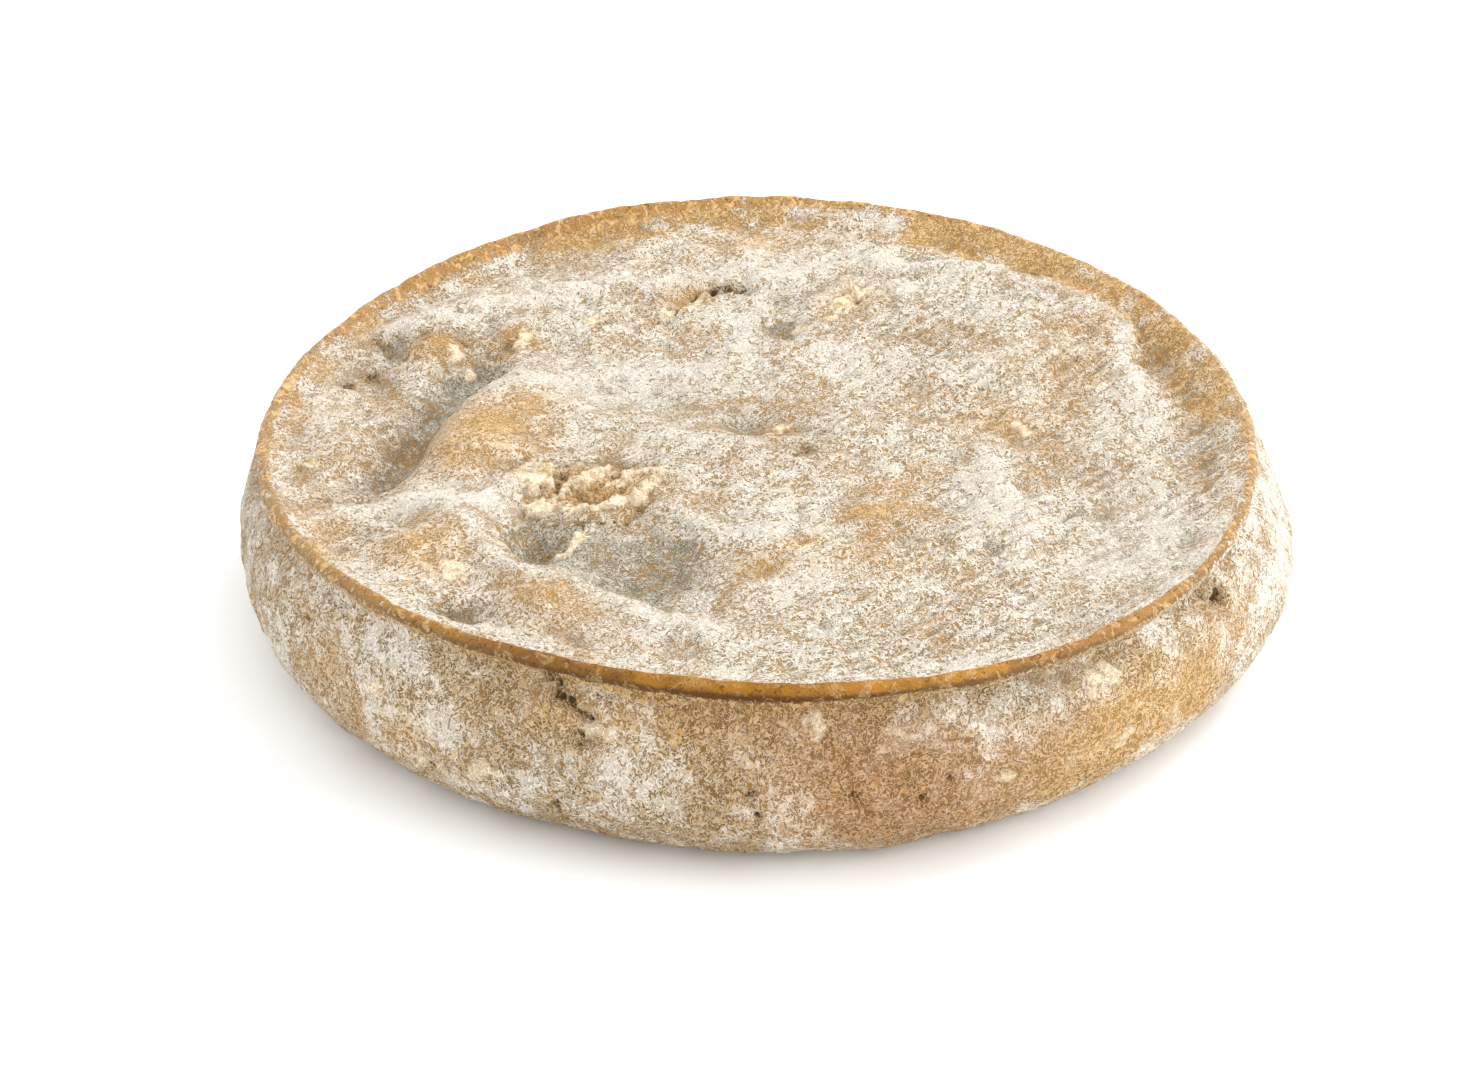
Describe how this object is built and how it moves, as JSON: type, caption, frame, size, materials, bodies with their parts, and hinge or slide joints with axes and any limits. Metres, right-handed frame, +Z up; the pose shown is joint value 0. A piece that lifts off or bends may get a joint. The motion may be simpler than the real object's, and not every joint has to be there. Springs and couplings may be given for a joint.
{
  "type": "cheese wheel",
  "caption": "Low round wheel of pressed semi-soft cheese with a mould rind, a bulging side, a thin raised amber lip and a sunken lumpy top",
  "frame": {"origin": "middle of the flat base, the face the wheel rests on", "axes": "+Z up through the wheel, -Y toward the side seen from the front, +X to the right of that view"},
  "size_m": [0.2226, 0.2192, 0.04],
  "materials": {
    "rind": "dry, fuzzy cream-grey mould over an ochre rind"
  },
  "bodies": {
    "root": {"cheese_wheel": "rind"}
  },
  "joints": []
}
